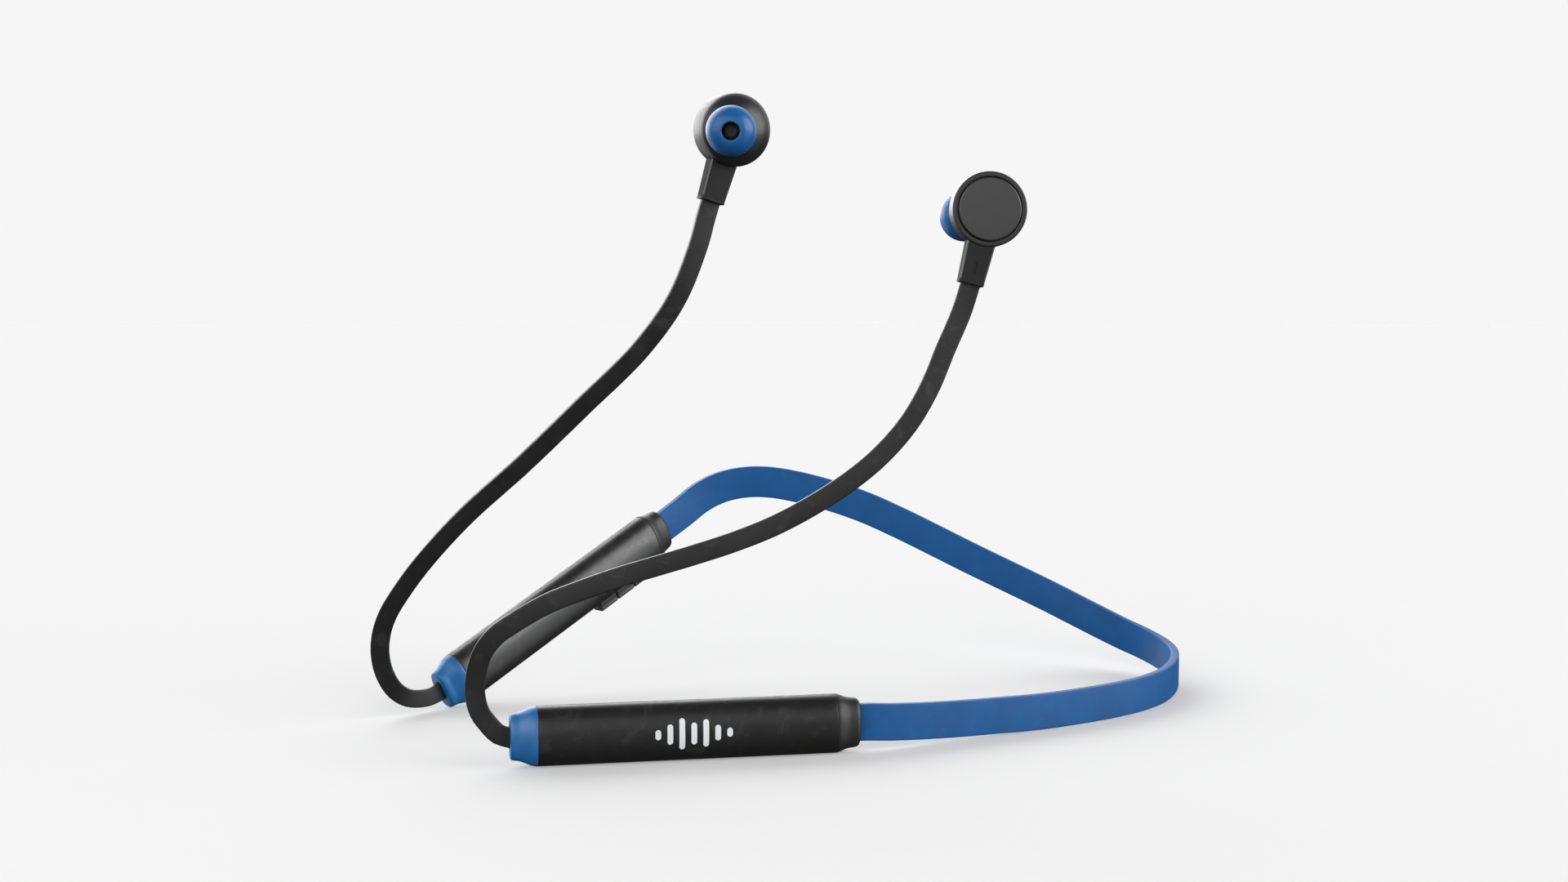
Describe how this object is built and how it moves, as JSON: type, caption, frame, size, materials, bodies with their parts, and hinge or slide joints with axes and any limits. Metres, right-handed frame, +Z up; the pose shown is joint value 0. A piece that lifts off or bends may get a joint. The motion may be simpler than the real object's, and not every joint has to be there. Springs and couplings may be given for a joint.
{
  "type": "neckband earphones",
  "caption": "Wireless neckband earphones: a flat rubber neck strap joins two slim pods, each feeding an in-ear bud on a flat cable.",
  "frame": {"origin": "on the surface under the middle of the strap, pods and buds, the two cables left out", "axes": "+X towards the strap's outer bend, +Y from the left pod towards the right side's strap, +Z up"},
  "size_m": [0.1963, 0.1263, 0.144],
  "materials": {
    "casing": "fine satin black plastic",
    "black_rubber": "matt black soft-touch rubber",
    "blue_rubber": "satin blue silicone rubber",
    "tip_silicone": "smooth blue silicone",
    "cable_jacket": "satin black elastomer",
    "bud_plastic": "satin black plastic",
    "circuit_board": "green solder mask",
    "cell_foil": "satin laminated foil",
    "steel": "plain stamped steel",
    "grille": "dark woven wire",
    "clear_plastic": "clear moulded light pipe",
    "copper": "flat copper conductors in film"
  },
  "bodies": {
    "neck_strap": {"strap_back": "blue_rubber", "signal_ribbon_back": "copper"},
    "left_arm": {"left_casing_front": "casing", "left_casing_rear": "casing", "left_cable_boot": "blue_rubber", "left_tail_boot": "black_rubber", "battery_cell": "cell_foil", "battery_board": "circuit_board", "strap_left": "blue_rubber", "signal_ribbon_left": "copper"},
    "right_arm": {"right_casing_front": "casing", "right_casing_rear": "casing", "right_cable_boot": "blue_rubber", "right_tail_boot": "black_rubber", "main_board": "circuit_board", "charging_socket": "steel", "status_light_pipe": "clear_plastic", "microphone": "steel", "volume_down_switch": "steel", "play_switch": "steel", "volume_up_switch": "steel", "strap_right": "blue_rubber", "signal_ribbon_right": "copper"},
    "volume_down_cap": {"volume_down_button": "black_rubber"},
    "play_cap": {"play_button": "black_rubber"},
    "volume_up_cap": {"volume_up_button": "black_rubber"},
    "charging_flap": {"port_cover": "black_rubber"},
    "left_lead": {"left_cable": "cable_jacket", "left_bud_cap": "bud_plastic", "left_bud_housing": "bud_plastic", "left_bud_nozzle_shell": "bud_plastic", "left_bud_stem": "bud_plastic", "left_bud_magnet": "steel", "left_bud_driver": "steel", "left_bud_mesh": "grille"},
    "left_tip": {"left_ear_tip": "tip_silicone"},
    "right_lead": {"right_cable": "cable_jacket", "right_bud_cap": "bud_plastic", "right_bud_housing": "bud_plastic", "right_bud_nozzle_shell": "bud_plastic", "right_bud_stem": "bud_plastic", "right_bud_magnet": "steel", "right_bud_driver": "steel", "right_bud_mesh": "grille"},
    "right_tip": {"right_ear_tip": "tip_silicone"}
  },
  "joints": [
    {"name": "left_arm_flex", "type": "hinge", "parent": "neck_strap", "child": "left_arm", "pos_m": [0.06714, -0.01125, 0.00415], "axis": [0, 0, 1], "range_deg": [-5, 25], "stiffness_Nm_per_rad": 0.05},
    {"name": "right_arm_flex", "type": "hinge", "parent": "neck_strap", "child": "right_arm", "pos_m": [-0.00657, 0.06056, 0.0479], "axis": [0, 0, -1], "range_deg": [-5, 25], "stiffness_Nm_per_rad": 0.05},
    {"name": "volume_down_press", "type": "slide", "parent": "right_arm", "child": "volume_down_cap", "axis": [-0.321, -0.2962, 0.8996], "range_m": [0, 0.0004], "stiffness_N_per_m": 3000, "springref_m": -0.0002},
    {"name": "play_press", "type": "slide", "parent": "right_arm", "child": "play_cap", "axis": [-0.321, -0.2962, 0.8996], "range_m": [0, 0.0004], "stiffness_N_per_m": 3000, "springref_m": -0.0002},
    {"name": "volume_up_press", "type": "slide", "parent": "right_arm", "child": "volume_up_cap", "axis": [-0.321, -0.2962, 0.8996], "range_m": [0, 0.0004], "stiffness_N_per_m": 3000, "springref_m": -0.0002},
    {"name": "charging_flap_hinge", "type": "hinge", "parent": "right_arm", "child": "charging_flap", "pos_m": [-0.08265, 0.01353, 0.0121], "axis": [-0.321, -0.2962, 0.8996], "range_deg": [0, 100]},
    {"name": "left_lead_swing", "type": "hinge", "parent": "left_arm", "child": "left_lead", "pos_m": [-0.06594, -0.05832, 0.0065], "axis": [0, 0, 1], "range_deg": [-22, 22]},
    {"name": "right_lead_swing", "type": "hinge", "parent": "right_arm", "child": "right_lead", "pos_m": [-0.08984, 0.00078, 0.0045], "axis": [0, 0, 1], "range_deg": [-22, 22]},
    {"name": "left_tip_pull", "type": "slide", "parent": "left_lead", "child": "left_tip", "axis": [-0.438, 0.8906, -0.1227], "range_m": [0, 0.007]},
    {"name": "right_tip_pull", "type": "slide", "parent": "right_lead", "child": "right_tip", "axis": [-0.0062, -0.9974, -0.0721], "range_m": [0, 0.007]}
  ]
}
